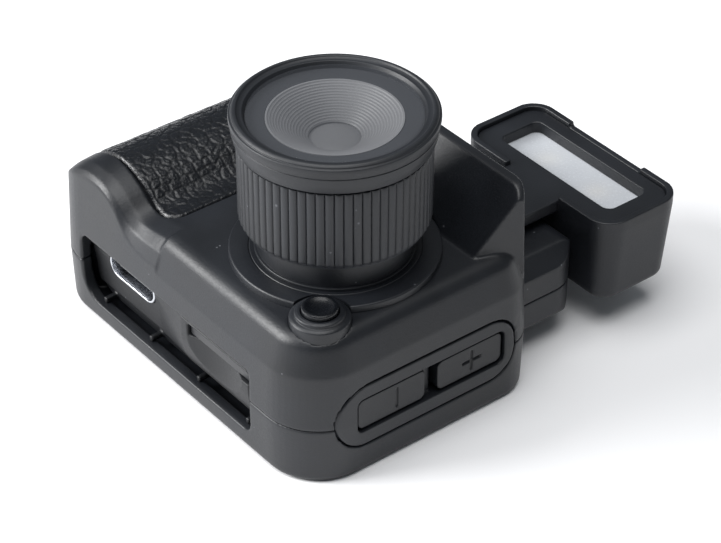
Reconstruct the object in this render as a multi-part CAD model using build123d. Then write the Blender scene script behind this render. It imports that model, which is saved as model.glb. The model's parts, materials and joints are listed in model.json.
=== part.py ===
"""Thumb-size toy camera lying on its back: moulded shells, leather grip, ribbed lens and sliding lamp head.

Millimetres. The origin is on the lens axis at the rear rest plane. +Z is the lens axis, +Y is the
camera's top where the lamp head sits, +X is the side with the two keys, -X is the grip.
"""

import os
from math import cos, pi, radians, sin, tan

from build123d import *

os.makedirs("parts", exist_ok=True)

# ---- body shells ----
body_length = 49.7  # along X at the parting line
body_height = 33.0  # along Y at the parting line
key_side = 14.25  # lens axis to the +X wall at the parting line
foot_side = 15.0  # lens axis to the -Y wall at the parting line
corner_r = 6.8
corner_far_r = 5.0  # the corner between the +X and +Y walls
draft = 2.0  # degrees, both ways from the parting line
wall = 1.45
seam_z = 7.25
crease_z = 14.1
front_z = 18.4
rear_edge_r = 0.9
dome_taper = 18.0
dome_round = 2.0

# ---- brow in front of the hump ----
brow_z = 26.0
brow_half = 12.8  # widest, at the +Y wall
brow_foot_half = 10.6  # at the foot of the sloping face
brow_corner = 2.7
brow_top_y = 1.9  # top inner edge, in from the +Y wall
brow_foot_y = 8.0  # foot of the sloping face, in from the +Y wall

# ---- hump behind the brow ----
hump_half = 9.6
hump_y = 10.25  # past the +Y wall
hump_low = 2.0
hump_high = 12.3
hump_round = 4.2
hump_chamfer = 1.9

# ---- lamp head ----
lamp_half = 12.7
lamp_depth = 12.0
lamp_gap = 0.15  # between hump end and lamp rim, in plan
lamp_low = 4.1
lamp_rim_z = 15.5
lamp_face_z = 15.0
lamp_draft = 4.6
lamp_wall = 0.8
lamp_round = 3.0
plate_t = 1.5
tongue_half = 4.5
tongue_play = 0.15
lamp_travel = 5.5
window_half = 9.4
window_depth = 6.0
diffuser_drop = 1.7

# ---- grip ----
grip_edge = 19.75  # XL to the straight pad boundary
grip_blend = 2.4  # run-out from the pad boundary to the flat front
pad_gap = 0.12  # groove round the pad
end_steps = [(0.0, 0.0), (0.22, 0.56), (0.5, 0.86), (1.0, 1.0)]  # way in from the wall, share of rise
pad_t = 0.7
pad_front = 4.3  # pad edge in from the -Y wall
pad_back = 3.6  # pad edge in from the +Y wall

# ---- lens ----
flange_r = 11.65
flange_top_r = 11.4
flange_z = 19.25
neck_r = 8.6
neck_z = 22.65
tube_r = 8.0
bore_r = 6.8
ring_r = 10.5
ring_low = 22.95
ring_len = 9.85
ring_play = 0.06  # radial running clearance
ring_ribs = 66
focus_half = 60.0  # degrees either way
head_gap = 0.12
head_len = 3.75
head_r = 11.25
glass_r = 9.5
glass_t = 0.6
cone_r = 7.35
cone_depth = 2.5
cone_steps = 13
pupil_r = 2.8
cell_play = 0.06
cell_travel = 0.6

# ---- release button ----
release_x = 9.1
release_y = -9.1
release_r = 3.17
release_z = 19.55
release_gap = 0.3  # to the flange
button_r = 2.0
button_z = 20.4
button_play = 0.08
button_travel = 0.5

# ---- keys on the +X wall ----
bezel_y0 = -10.7
bezel_y1 = 14.1
bezel_z0 = 3.6
bezel_z1 = 11.8
key_y0 = -8.0
key_y1 = 12.5
key_z0 = 5.6
key_z1 = 10.0
key_split_y = 2.3
key_split = 1.2
key_play = 0.28
key_recess = 0.25
key_travel = 0.4
bezel_gap = 0.18  # dark line round the bezel
bezel_groove = 0.7  # depth of that line

# ---- ports on the -Y wall ----
bay_left = 7.1  # XL to the bay's left edge
bay_lip = 0.2  # card slot to the end of the bay
bay_z0 = 2.6
bay_z1 = 11.15
bay_back = 1.7  # recess depth at the USB end
usb_w = 8.94
usb_h = 3.26
usb_x = 14.95  # XL to the socket centre
usb_z = 8.53
usb_len = 7.3
card_w = 11.0
card_len = 15.0
card_t = 1.0
card_x = -1.7
card_z = 9.9
card_play = 0.06
card_travel = 4.0

# ---- rear face ----
screen_x0 = -22.0
screen_x1 = 9.5
screen_y0 = -8.8
screen_y1 = 12.0
screen_t = 0.9
rear_button_r = 2.3
rear_button_pitch = 7.0
rear_button_x = 6.9  # XL to the button row
rear_button_sunk = 0.3
rear_button_travel = 0.4

# ---- shutter button on the +Y wall of the grip ----
shutter_x = 10.3  # XL to the button centre
shutter_z = 12.4
shutter_r = 2.5
shutter_proud = 0.6

# ---- inside ----
board_z = 5.9
board_t = 1.0
card_board_z = 11.0
card_board_t = 0.8
post_r = 2.2
screw_r = 0.7
screw_head_r = 1.5
floor_t = 1.5

bay_x1 = card_x + card_w / 2 + bay_lip
XR = key_side
XL = key_side - body_length
YB = -foot_side
YT = body_height - foot_side
CX = (XR + XL) / 2
CY = (YT + YB) / 2
slope = tan(radians(draft))


def save(shape, node):
    export_step(shape, "parts/" + node + ".step")


def block(x0, x1, y0, y1, z0, z1):
    """A box by its corners."""
    box = Box(x1 - x0, y1 - y0, z1 - z0)
    return Pos((x0 + x1) / 2, (y0 + y1) / 2, (z0 + z1) / 2) * box


def rounded(x0, x1, y0, y1, z0, z1, r, taper=0.0):
    """A plan-rounded box; a taper shrinks it upward."""
    face = RectangleRounded(x1 - x0, y1 - y0, r)
    return Pos((x0 + x1) / 2, (y0 + y1) / 2, z0) * extrude(face, amount=z1 - z0, taper=taper)


def disc(r, z0, z1, x=0.0, y=0.0):
    return Pos(x, y, (z0 + z1) / 2) * Cylinder(r, z1 - z0)


def rod_y(r, y0, y1, x, z):
    return Pos(x, (y0 + y1) / 2, z) * Rot(90, 0, 0) * Cylinder(r, y1 - y0)


def rod_x(r, x0, x1, y, z):
    return Pos((x0 + x1) / 2, y, z) * Rot(0, 90, 0) * Cylinder(r, x1 - x0)


def along_x(points, x0, x1):
    """A (y, z) outline run along X."""
    face = make_face(Polyline(*points, close=True))
    return Pos(x0, 0, 0) * extrude(Plane.YZ * face, amount=x1 - x0)


def along_y(face, y0, y1):
    """An (x, z) face run along Y."""
    return Pos(0, y1, 0) * extrude(Plane.XZ * face, amount=y1 - y0)


def standing(face, y):
    """An (x, z) face stood up at a given Y."""
    return Pos(0, y, 0) * (Plane.XZ * face)


def outline(inset, z0, z1, taper, shrink=0.0):
    """The body's plan, drawn in by an inset, run up from z0."""
    width = body_length - 2 * (inset + shrink)
    depth = body_height - 2 * (inset + shrink)
    w = width / 2
    d = depth / 2
    r = corner_r - inset - shrink
    far = corner_far_r - inset - shrink
    face = make_face(
        [
            Line((-w + r, -d), (w - r, -d)),
            RadiusArc((w - r, -d), (w, -d + r), -r),
            Line((w, -d + r), (w, d - far)),
            RadiusArc((w, d - far), (w - far, d), -far),
            Line((w - far, d), (-w + r, d)),
            RadiusArc((-w + r, d), (-w, d - r), -r),
            Line((-w, d - r), (-w, -d + r)),
            RadiusArc((-w, -d + r), (-w + r, -d), -r),
        ]
    )
    return Pos(CX, CY, z0) * extrude(face, amount=z1 - z0, taper=taper)


def downward(solid, z):
    return mirror(solid, about=Plane.XY.offset(z))


def revolved(points):
    """An (r, z) outline turned round the lens axis."""
    face = make_face(Polyline(*points, close=True))
    return revolve(Plane.XZ * face, axis=Axis.Z)


# ---------------------------------------------------------------- grip outlines
def grip_face(top, base):
    """A smooth (x, z) ridge over a flat base."""
    ridge = Spline(*top)
    right = Line(top[-1], (top[-1][0], base))
    low = Line((top[-1][0], base), (top[0][0], base))
    left = Line((top[0][0], base), top[0])
    return make_face([ridge, right, low, left])


EDGE = XL + grip_edge
BLEND = EDGE + grip_blend
pad_line = [
    (XL - 0.4, 8.6),
    (XL + 0.9, 13.4),
    (XL + 2.9, 17.0),
    (XL + 6.2, 20.1),
    (XL + 10.0, 20.95),
    (XL + 12.8, 20.25),
    (XL + 14.7, 19.15),
    (XL + 16.2, 18.1),
    (XL + 17.8, 17.8),
    (EDGE, 18.0),
    (BLEND + 0.05, front_z),
]
crease_line = [
    (XL - 0.4, 7.6),
    (XL + 0.6, 11.5),
    (XL + 2.4, 15.0),
    (XL + 5.2, 17.7),
    (XL + 8.4, 18.75),
    (XL + 12.4, 18.8),
    (XL + 14.3, 17.5),
    (XL + 15.6, 15.9),
    (XL + 17.4, 14.7),
    (XL + 19.75, crease_z + 0.1),
    (BLEND + 0.05, crease_z),
]


def lowered(line, drop):
    return [(x, z - drop) for x, z in line]


def between(share, drop):
    """The outline part of the way from the crease up to the ridge."""
    line = [
        (a[0] + (b[0] - a[0]) * share, a[1] + (b[1] - a[1]) * share - drop)
        for a, b in zip(crease_line, pad_line)
    ]
    return grip_face(line, seam_z - 2.0)


def grip_block(drop, inset):
    """The grip's ridge with its two rounded ends."""
    low = YB + inset
    high = YT - inset
    near_y = YB + pad_front
    far_y = YT - pad_back
    solid = along_y(between(1.0, drop), near_y, far_y)
    for k in range(len(end_steps) - 1):
        (t0, f0), (t1, f1) = end_steps[k], end_steps[k + 1]
        near = [
            standing(between(f0, drop), low + (near_y - low) * t0),
            standing(between(f1, drop), low + (near_y - low) * t1),
        ]
        far = [
            standing(between(f1, drop), high + (far_y - high) * t1),
            standing(between(f0, drop), high + (far_y - high) * t0),
        ]
        solid = solid + loft(near) + loft(far)
    return solid


# ---------------------------------------------------------------- front shell
def dome(inset, top, r):
    """The rounded front above the crease."""
    rise = crease_z - seam_z
    start = outline(inset + rise * slope, crease_z, top, dome_taper)
    return fillet(start.faces().sort_by(Axis.Z)[-1].edges(), r)


def brow_wedge(grow, top):
    """The hood: a sloping face toward the lens, ends cut back in plan, top corners rounded."""
    half = brow_half - grow
    r = brow_corner - grow * 0.5
    front = make_face(
        [
            Line((-half, seam_z + 3.0), (half, seam_z + 3.0)),
            Line((half, seam_z + 3.0), (half, top - r)),
            RadiusArc((half, top - r), (half - r, top), -r),
            Line((half - r, top), (-half + r, top)),
            RadiusArc((-half + r, top), (-half, top - r), -r),
            Line((-half, top - r), (-half, seam_z + 3.0)),
        ]
    )
    foot_half = brow_foot_half - grow
    plan = make_face(
        Polyline(
            (-half - 1, YT + 1.0),
            (-half - 1, YT - 1.6),
            (-half + 0.3, YT - 1.8),
            (-foot_half, YT - brow_foot_y + 0.6),
            (-foot_half + 1.0, YT - brow_foot_y - 2.0),
            (foot_half - 1.0, YT - brow_foot_y - 2.0),
            (foot_half, YT - brow_foot_y + 0.6),
            (half - 0.3, YT - 1.8),
            (half + 1, YT - 1.6),
            (half + 1, YT + 1.0),
            close=True,
        )
    )
    standing_plan = Pos(0, 0, seam_z) * extrude(plan, amount=brow_z)
    lean = (brow_z - 17.5) / (brow_foot_y - brow_top_y)
    foot = YT - brow_foot_y + grow * 0.85
    head = foot + (top - 17.5 + grow * 0.6) / lean
    section = [
        (foot, seam_z + 3.0),
        (YT + 1.0, seam_z + 3.0),
        (YT + 1.0, top),
        (head, top),
        (foot, 17.5 - grow * 0.6),
    ]
    slab = along_x(section, -brow_half, brow_half)
    return slab & along_y(front, YT - 12.0, YT + 2.0) & standing_plan


tall = outline(0.0, seam_z, brow_z, draft)
tall_in = outline(wall, seam_z, brow_z, draft)
low_wall = tall & block(XL - 5, XR + 5, YB - 5, YT + 5, seam_z, crease_z)
low_in = tall_in & block(XL - 5, XR + 5, YB - 5, YT + 5, seam_z, crease_z)
right_of_grip = block(BLEND, XR + 5, YB - 5, YT + 5, seam_z, brow_z)
left_of_grip = block(XL - 5, BLEND, YB - 5, YT + 5, seam_z, brow_z)

crown = dome(0.0, front_z, dome_round) & right_of_grip
crown_in = dome(wall, front_z - wall, dome_round - 0.7) & right_of_grip
pad_pocket = along_y(grip_face(pad_line, seam_z + 2.2), YB + pad_front, YT - pad_back)
pad_floor = along_y(
    grip_face(lowered(pad_line, pad_t), 5.0), YB + pad_front - 1, YT - pad_back + 1
)
pad_plan = Pos(0, 0, seam_z) * extrude(
    make_face(
        [
            Line((XL - 3, YB + pad_front), (EDGE - 2.0, YB + pad_front)),
            RadiusArc((EDGE - 2.0, YB + pad_front), (EDGE, YB + pad_front + 2.0), -2.0),
            Line((EDGE, YB + pad_front + 2.0), (EDGE, YT - pad_back - 2.0)),
            RadiusArc((EDGE, YT - pad_back - 2.0), (EDGE - 2.0, YT - pad_back), -2.0),
            Line((EDGE - 2.0, YT - pad_back), (XL - 3, YT - pad_back)),
            Line((XL - 3, YT - pad_back), (XL - 3, YB + pad_front)),
        ]
    ),
    amount=brow_z,
)
pad_pocket = (pad_pocket - pad_floor) & pad_plan
grip_out = (grip_block(0.0, 0.0) & tall & left_of_grip) - pad_pocket
grip_in = grip_block(pad_t + wall, wall) & tall_in & left_of_grip
low_right = low_wall & right_of_grip
brow = brow_wedge(0.0, brow_z) & tall
brow_in = brow_wedge(wall, brow_z - wall) & tall_in

hump_end = YT + hump_y


def hump(grow, z0, z1, y0):
    """The block behind the brow, chamfered along its upper sides."""
    half = hump_half - grow
    high = hump_high - grow
    low = hump_low + grow
    cut = hump_chamfer
    section = make_face(
        Polyline(
            (-half, low + cut),
            (-half + cut, low),
            (half - cut, low),
            (half, low + cut),
            (half, high - cut),
            (half - cut, high),
            (-half + cut, high),
            (-half, high - cut),
            close=True,
        )
    )
    bar = along_y(section, y0, hump_end - grow)
    plan = rounded(-half, half, y0 - 8, hump_end - grow, low, high, hump_round - grow)
    y_end = hump_end - grow
    rise = (high - low) / 2
    side = make_face(
        [
            Line((y0 - 8, low), (y_end - 6.0, low)),
            ThreePointArc((y_end - 6.0, low), (y_end - 1.75, low + 0.293 * rise), (y_end, low + rise)),
            Line((y_end, low + rise), (y_end, high - 2.0)),
            ThreePointArc((y_end, high - 2.0), (y_end - 0.55, high - 0.6), (y_end - 1.9, high)),
            Line((y_end - 1.9, high), (y0 - 8, high)),
            Line((y0 - 8, high), (y0 - 8, low)),
        ]
    )
    end_cut = Pos(-half - 1, 0, 0) * extrude(Plane.YZ * side, amount=2 * half + 2)
    return bar & plan & end_cut & block(-half - 1, half + 1, y0, hump_end, z0, z1)


hump_front = hump(0.0, seam_z, hump_high, YT - 1.2)
hump_front_in = hump(wall, seam_z, hump_high, YT - 2.6)
hump_rear = hump(0.0, hump_low, seam_z, YT - 1.2)
hump_rear_in = hump(wall, hump_low, seam_z, YT - 2.6)

front_outer = low_right + crown + grip_out + brow + hump_front
front_inner = (low_in & right_of_grip) + crown_in + grip_in + brow_in + hump_front_in

posts = [
    (XL + 4.5, YB + 4.5),
    (XL + 4.5, YT - 4.5),
    (XR - 5.85, YB + 3.6),
    (XR - 5.85, YT - 3.8),
]


def at_posts(r, z0, z1):
    first = disc(r, z0, z1, posts[0][0], posts[0][1])
    for x, y in posts[1:]:
        first = first + disc(r, z0, z1, x, y)
    return first


# port bay opening, its corners rounded as moulded
BAY0 = XL + bay_left
bay_points = [
    (BAY0, bay_z0 + 3.0),
    (BAY0, bay_z1 - 1.3),
    (BAY0 + 1.3, bay_z1),
    (bay_x1 - 0.4, bay_z1),
    (bay_x1, bay_z1 - 0.4),
    (bay_x1, bay_z0 + 1.2),
    (bay_x1 - 1.2, bay_z0),
    (BAY0 + 3.0, bay_z0),
]
bay_face = make_face(
    [
        Line(bay_points[0], bay_points[1]),
        RadiusArc(bay_points[1], bay_points[2], 1.3),
        Line(bay_points[2], bay_points[3]),
        Line(bay_points[3], bay_points[4]),
        Line(bay_points[4], bay_points[5]),
        RadiusArc(bay_points[5], bay_points[6], 1.2),
        Line(bay_points[6], bay_points[7]),
        RadiusArc(bay_points[7], bay_points[0], 3.0),
    ]
)
bay_cut = along_y(bay_face, YB - 3.0, YB + 2.6)


# key bezel opening: a long plate with one full-round end
def pill(grow, x0, x1):
    low = bezel_z0 - grow
    high = bezel_z1 + grow
    first = bezel_y0 - grow
    last = bezel_y1 + grow
    full = (high - low) / 2
    left = rod_x(full, x0, x1, first + full, (low + high) / 2)
    bar = block(x0, x1, first + full, last - 3.5, low, high)
    end = block(x0, x1, last - 3.6, last, low + 3.5, high - 3.5)
    upper = rod_x(3.5, x0, x1, last - 3.5, high - 3.5)
    lower = rod_x(3.5, x0, x1, last - 3.5, low + 3.5)
    return left + bar + end + upper + lower


bezel_cut = pill(0.0, XR - 2.4, XR + 2.0)

front_shell = front_outer - front_inner
front_shell = front_shell + (at_posts(post_r, seam_z, 13.4) & (low_wall + grip_out))
front_shell = front_shell - at_posts(screw_r, seam_z - 1, 12.0)
front_shell = front_shell - disc(neck_r, front_z - 4.0, front_z + 3.0)
front_shell = front_shell - disc(flange_r, front_z, flange_z + 1.2)
front_shell = front_shell - disc(release_r, front_z - 4.0, front_z + 3.0, release_x, release_y)
front_shell = front_shell - bay_cut - bezel_cut
tongue_slot = block(
    -tongue_half - tongue_play,
    tongue_half + tongue_play,
    YT - 3.0,
    YT + 2.0,
    lamp_face_z - plate_t - tongue_play,
    lamp_face_z + tongue_play,
)
front_shell = front_shell - tongue_slot
front_shell = front_shell - block(-7.8, 7.8, YT - 3.0, YT + 1.0, seam_z - 1, 10.6)
SHX = XL + shutter_x
front_shell = front_shell - rod_y(shutter_r + 0.1, YT - 4.0, YT + 2.0, SHX, shutter_z)

# ---------------------------------------------------------------- rear shell
rear_outer = downward(outline(0.0, seam_z, 2 * seam_z, draft), seam_z)
rear_outer = fillet(rear_outer.faces().sort_by(Axis.Z)[0].edges(), rear_edge_r)
rear_inner = downward(outline(wall, seam_z, 2 * seam_z - floor_t, draft), seam_z)
screen_hole = rounded(screen_x0, screen_x1, screen_y0, screen_y1, -1, screen_t, 1.5)
lcd_hole = block(screen_x0 + 1.2, screen_x1 - 1.2, screen_y0 + 1.0, screen_y1 - 1.0, 0, 3.0)
RBX = XL + rear_button_x
button_ys = [1.5 + rear_button_pitch * k for k in (-1, 0, 1)]
rear_shell = rear_outer + hump_rear - rear_inner - hump_rear_in
rear_shell = rear_shell + at_posts(post_r, floor_t - 0.2, seam_z)
rear_shell = rear_shell - at_posts(screw_r + 0.2, 0.5, seam_z + 1)
rear_shell = rear_shell - at_posts(screw_head_r + 0.1, -1.0, 1.9)
rear_shell = rear_shell - screen_hole - lcd_hole - bay_cut - bezel_cut
rear_shell = rear_shell - block(-7.8, 7.8, YT - 3.0, YT + 1.0, 3.6, seam_z + 1)
for y in button_ys:
    rear_shell = rear_shell - disc(rear_button_r + 0.1, -1, 3, RBX, y)

# ---------------------------------------------------------------- leather pad
pad_inner = block(
    XL - 3, EDGE - pad_gap, YB + pad_front + pad_gap, YT - pad_back - pad_gap, seam_z, brow_z
)
grip_pad = (pad_pocket & outline(0.0, seam_z, brow_z, draft)) & pad_inner

# ---------------------------------------------------------------- lens
flange = revolved(
    [(neck_r, front_z), (flange_r, front_z), (flange_top_r, flange_z), (neck_r, flange_z)]
)
lens_flange = flange - disc(release_r + release_gap, front_z - 1, flange_z + 1, release_x, release_y)

barrel_low = card_board_z + card_board_t
ring_high = ring_low + ring_len
head_low = ring_high + head_gap
tube_top = head_low + 1.5
lens_barrel = revolved(
    [
        (bore_r, barrel_low),
        (neck_r, barrel_low),
        (neck_r, neck_z),
        (tube_r, neck_z),
        (tube_r, tube_top),
        (bore_r, tube_top),
    ]
)
lens_barrel = lens_barrel + (disc(neck_r + 0.25, flange_z, flange_z + 0.35) - disc(neck_r, 0, 60))
stop_z = ring_high - 1.4
stop_lug = block(-0.5, 0.5, -tube_r - 0.5, -tube_r + 0.4, stop_z + 0.2, ring_high)
cam_z = ring_low + 3.2
cam_slot = block(tube_r - 3.0, tube_r + 1.0, -0.6, 0.6, cam_z - 1.3, cam_z + 1.3)
lens_barrel = lens_barrel + stop_lug - cam_slot

ring_face = Circle(ring_r) - PolarLocations(ring_r + 0.04, ring_ribs) * Circle(0.21)
focus_ring = Pos(0, 0, ring_low) * extrude(ring_face, amount=ring_len)
focus_ring = focus_ring - disc(tube_r + ring_play, 0, 60)
stop_turn = focus_half + 6.0
stop_arc = Pos(0, 0, stop_z) * extrude(
    make_face(
        [
            Line((0, 0), (9.0 * sin(radians(-stop_turn)), -9.0 * cos(radians(stop_turn)))),
            ThreePointArc(
                (9.0 * sin(radians(-stop_turn)), -9.0 * cos(radians(stop_turn))),
                (0, -9.0),
                (9.0 * sin(radians(stop_turn)), -9.0 * cos(radians(stop_turn))),
            ),
            Line((9.0 * sin(radians(stop_turn)), -9.0 * cos(radians(stop_turn))), (0, 0)),
        ]
    ),
    amount=3.0,
)
focus_ring = focus_ring - stop_arc
focus_ring = focus_ring - (disc(tube_r + 0.8, cam_z - 1.2, cam_z + 1.2) - disc(tube_r - 1, 0, 60))

top_z = head_low + head_len
glass_z = top_z - 0.5
mask_z = glass_z - glass_t
lens_head = revolved(
    [
        (tube_r, head_low),
        (10.6, head_low),
        (10.75, head_low + 0.5),
        (head_r - 0.2, head_low + 1.9),
        (head_r, head_low + 2.2),
        (head_r, top_z - 0.5),
        (head_r - 0.35, top_z - 0.1),
        (head_r - 0.75, top_z),
        (glass_r, top_z - 0.4),
        (glass_r, mask_z - 0.3),
        (tube_r, mask_z - 0.3),
    ]
)
front_glass = disc(glass_r, mask_z, glass_z)
mask_ring = disc(glass_r, mask_z - 0.3, mask_z) - disc(cone_r, 0, 60)

cone_top = mask_z
cone_low = cone_top - cone_depth
cone_points = [(cone_r, cone_top)]
for k in range(cone_steps):
    r_in = cone_r - (cone_r - pupil_r) * (k + 1) / cone_steps
    z_now = cone_top - cone_depth * k / cone_steps
    z_next = cone_top - cone_depth * (k + 1) / cone_steps
    cone_points.append((r_in + 0.05, z_now - 0.04))
    cone_points.append((r_in, z_next))
cone_points.append((pupil_r, cone_low - 0.6))
cone_points.append((bore_r - 0.4, cone_low - 0.6))
cone_points.append((bore_r - 0.4, cone_top - 1.1))
cone_points.append((cone_r, cone_top - 0.5))
baffle_cone = revolved(cone_points)
lens_head = lens_head - disc(cone_r, mask_z - 3, mask_z + 1)

front_element = disc(pupil_r, cone_low - 0.6, cone_low)
element_ball = Pos(0, 0, cone_low - 7.2) * Sphere(7.6)
front_element = front_element + (disc(pupil_r, cone_low - 0.1, cone_low + 0.5) & element_ball)
front_element = front_element & disc(pupil_r, 0, 60)

cell_r = bore_r - cell_play
cell_low = cam_z - 2.5
cell_high = cam_z + 2.5
lens_cell = disc(cell_r, cell_low, cell_high) - disc(4.5, cell_low - 1, cell_high + 1)
lens_cell = lens_cell + (disc(4.5, cell_low + 1.2, cell_low + 1.8) - disc(3.6, 0, 60))
cam_pin = rod_x(0.5, cell_r - 0.6, tube_r + 0.55, 0, cam_z)
lens_cell = lens_cell + cam_pin
rear_element = disc(4.5, cell_low + 1.8, cell_low + 3.4)

sensor_board = disc(neck_r, card_board_z, barrel_low) + block(
    -8.6, 5.3, YB + 2.9, 0, card_board_z, barrel_low
)
image_sensor = block(-4.2, 4.2, -4.2, 4.2, barrel_low, barrel_low + 0.9)
filter_glass = disc(bore_r, barrel_low + 1.5, barrel_low + 1.9)

# ---------------------------------------------------------------- release button
release_base = disc(release_r, front_z - 2.3, release_z, release_x, release_y)
release_base = fillet(release_base.faces().sort_by(Axis.Z)[-1].edges(), 0.35)
release_base = release_base + disc(2.4, release_z - 0.2, release_z + 0.25, release_x, release_y)
release_base = release_base - disc(button_r + button_play, 10, 30, release_x, release_y)
release_base = release_base - disc(2.75, 10, front_z + 0.2, release_x, release_y)
release_button = disc(button_r, front_z - 0.9, button_z, release_x, release_y)
release_button = fillet(release_button.faces().sort_by(Axis.Z)[-1].edges(), 0.2)
release_button = release_button + disc(2.5, front_z - 0.9, front_z - 0.1, release_x, release_y)
dish = Pos(release_x, release_y, button_z + 7.6) * Sphere(7.75)
release_button = release_button - dish
release_switch = block(
    release_x - 1.7, release_x + 1.7, release_y - 1.7, release_y + 1.7, 15.2, front_z - 1.9
)
release_switch = release_switch + disc(0.8, front_z - 2.0, front_z - 1.45, release_x, release_y)
release_board = block(
    release_x - 2.6, release_x + 2.2, release_y - 2.0, release_y + 2.4, 14.4, 15.2
)

# ---------------------------------------------------------------- keys
bezel_in = XR - 1.9
key_bezel = (pill(0.0, bezel_in, XR - bezel_groove) + pill(-bezel_gap, XR - bezel_groove, XR + 1)) & (
    outline(0.0, seam_z, brow_z, draft)
    + downward(outline(0.0, seam_z, 2 * seam_z, draft), seam_z)
)
key_window = block(XR - 4, XR + 2, key_y0, key_y1, key_z0, key_z1)
key_window = fillet(key_window.edges().filter_by(Axis.X), 0.9)
key_bezel = key_bezel - key_window


def key(y0, y1, mark_y, plus):
    """A key with a hidden collar that keeps it behind the bezel."""
    face_x = XR - 0.1 - key_recess
    cap = block(
        bezel_in - 0.5, face_x, y0 + key_play, y1 - key_play, key_z0 + key_play, key_z1 - key_play
    )
    cap = fillet(cap.edges().filter_by(Axis.X), 0.75)
    collar = block(bezel_in - 1.2, bezel_in - 0.3, y0 - 0.1, y1 + 0.1, key_z0 - 0.7, key_z1 + 0.7)
    bar = block(face_x - 0.3, face_x + 1, mark_y - 0.18, mark_y + 0.18, 6.45, 9.15)
    body = cap + collar - bar
    if plus:
        body = body - block(face_x - 0.3, face_x + 1, mark_y - 1.35, mark_y + 1.35, 7.62, 7.98)
    return body


minus_key = key(key_y0, key_split_y - key_split / 2, -2.4, False)
plus_key = key(key_split_y + key_split / 2, key_y1, 8.0, True)
divider = block(
    bezel_in, XR - 1.3, key_split_y - 0.45, key_split_y + 0.45, key_z0 - 0.2, key_z1 + 0.2
)
key_bezel = key_bezel + divider
KBX = bezel_in - 3.4
key_board = block(KBX, KBX + 0.8, -7.4, 11.4, 4.6, 10.8)
switch_a = block(KBX + 0.8, KBX + 1.5, -4.9, -1.5, 6.1, 9.5)
switch_b = block(KBX + 0.8, KBX + 1.5, 6.2, 9.6, 6.1, 9.5)
key_switches = switch_a + switch_b
key_switches = key_switches + rod_x(0.9, KBX + 1.4, KBX + 1.75, -3.2, 7.8)
key_switches = key_switches + rod_x(0.9, KBX + 1.4, KBX + 1.75, 7.9, 7.8)

# ---------------------------------------------------------------- port panel and sockets
USBX = XL + usb_x
PANEL_IN = YB + 3.0


def panel_section(out, x):
    """The panel's section: upright above, curving under to the ledge."""
    face = make_face(
        [
            Line((PANEL_IN, bay_z0), (PANEL_IN, bay_z1)),
            Line((PANEL_IN, bay_z1), (out, bay_z1)),
            Line((out, bay_z1), (out, 8.6)),
            ThreePointArc((out, 8.6), (out + 0.35, 6.3), (YB + 1.55 + (out - YB) * 0.3, 4.0)),
            Line((YB + 1.55 + (out - YB) * 0.3, 4.0), (YB + 2.5, 4.0)),
            Line((YB + 2.5, 4.0), (YB + 2.5, bay_z0)),
            Line((YB + 2.5, bay_z0), (PANEL_IN, bay_z0)),
        ]
    )
    return Pos(x, 0, 0) * (Plane.YZ * face)


ramp_x0 = USBX + 4.9
ramp_x1 = card_x - 6.8
usb_end = extrude(panel_section(YB + bay_back, BAY0), amount=ramp_x0 - BAY0)
card_end = extrude(panel_section(YB + 0.1, ramp_x1), amount=bay_x1 - ramp_x1)
ramp = loft([panel_section(YB + bay_back, ramp_x0), panel_section(YB + 0.1, ramp_x1)])
port_panel = (usb_end + ramp + card_end) & bay_cut
rib_pitch = (bay_x1 - 1.6 - (BAY0 + 3.1)) / 3
for k in range(4):
    rib_x = BAY0 + 3.1 + rib_pitch * k
    rib = block(rib_x - 0.3, rib_x + 0.3, YB + 0.9, YB + 2.6, bay_z0, bay_z0 + 0.7)
    port_panel = port_panel + (rib & bay_cut)


def usb_outline(w, h, y0, y1):
    face = Pos(USBX, usb_z) * RectangleRounded(w, h, h / 2 - 0.02)
    return along_y(face, y0, y1)


USB_FACE = YB + bay_back
port_panel = port_panel - usb_outline(usb_w, usb_h, YB - 1, YB + 6)
card_hole = block(
    card_x - card_w / 2 - 0.12, card_x + card_w / 2 + 0.12, YB - 1, YB + 6, card_z - 0.65, card_z + 0.95
)
scoop = Pos(card_x - 0.6, YB - 10.65, 9.7) * Sphere(11.9)
scoop = scoop & block(card_x - 8, card_x + 8, YB - 3, YB + 2.2, 4.6, card_z)
port_panel = port_panel - card_hole - scoop

usb_shell = usb_outline(usb_w, usb_h, USB_FACE, USB_FACE + usb_len)
usb_shell = usb_shell - usb_outline(usb_w - 0.6, usb_h - 0.6, USB_FACE - 1, USB_FACE + usb_len - 1.0)
tongue_face = Pos(USBX, usb_z) * RectangleRounded(6.7, 0.7, 0.2)
usb_tongue = along_y(tongue_face, USB_FACE + 0.6, USB_FACE + usb_len - 1.0)

card_y0 = YB + 0.6
socket_y0 = YB + 3.0
socket = block(
    card_x - card_w / 2 - 0.6,
    card_x + card_w / 2 + 0.6,
    socket_y0,
    card_y0 + card_len + 1.2,
    card_z - card_t / 2 - 0.5,
    card_board_z,
)
card_room = block(
    card_x - card_w / 2 - card_play,
    card_x + card_w / 2 + card_play,
    socket_y0 - 1,
    card_y0 + card_len + 0.2,
    card_z - card_t / 2 - card_play,
    card_z + card_t / 2 + card_play,
)
card_socket = socket - card_room
memory_card = block(
    card_x - card_w / 2,
    card_x + card_w / 2,
    card_y0,
    card_y0 + card_len,
    card_z - card_t / 2,
    card_z + card_t / 2,
)
memory_card = memory_card + block(
    card_x - card_w / 2 + 0.4, card_x + card_w / 2 - 0.4, card_y0, card_y0 + 0.8,
    card_z + card_t / 2 - 0.1, card_z + card_t / 2 + 0.25,
)

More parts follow.
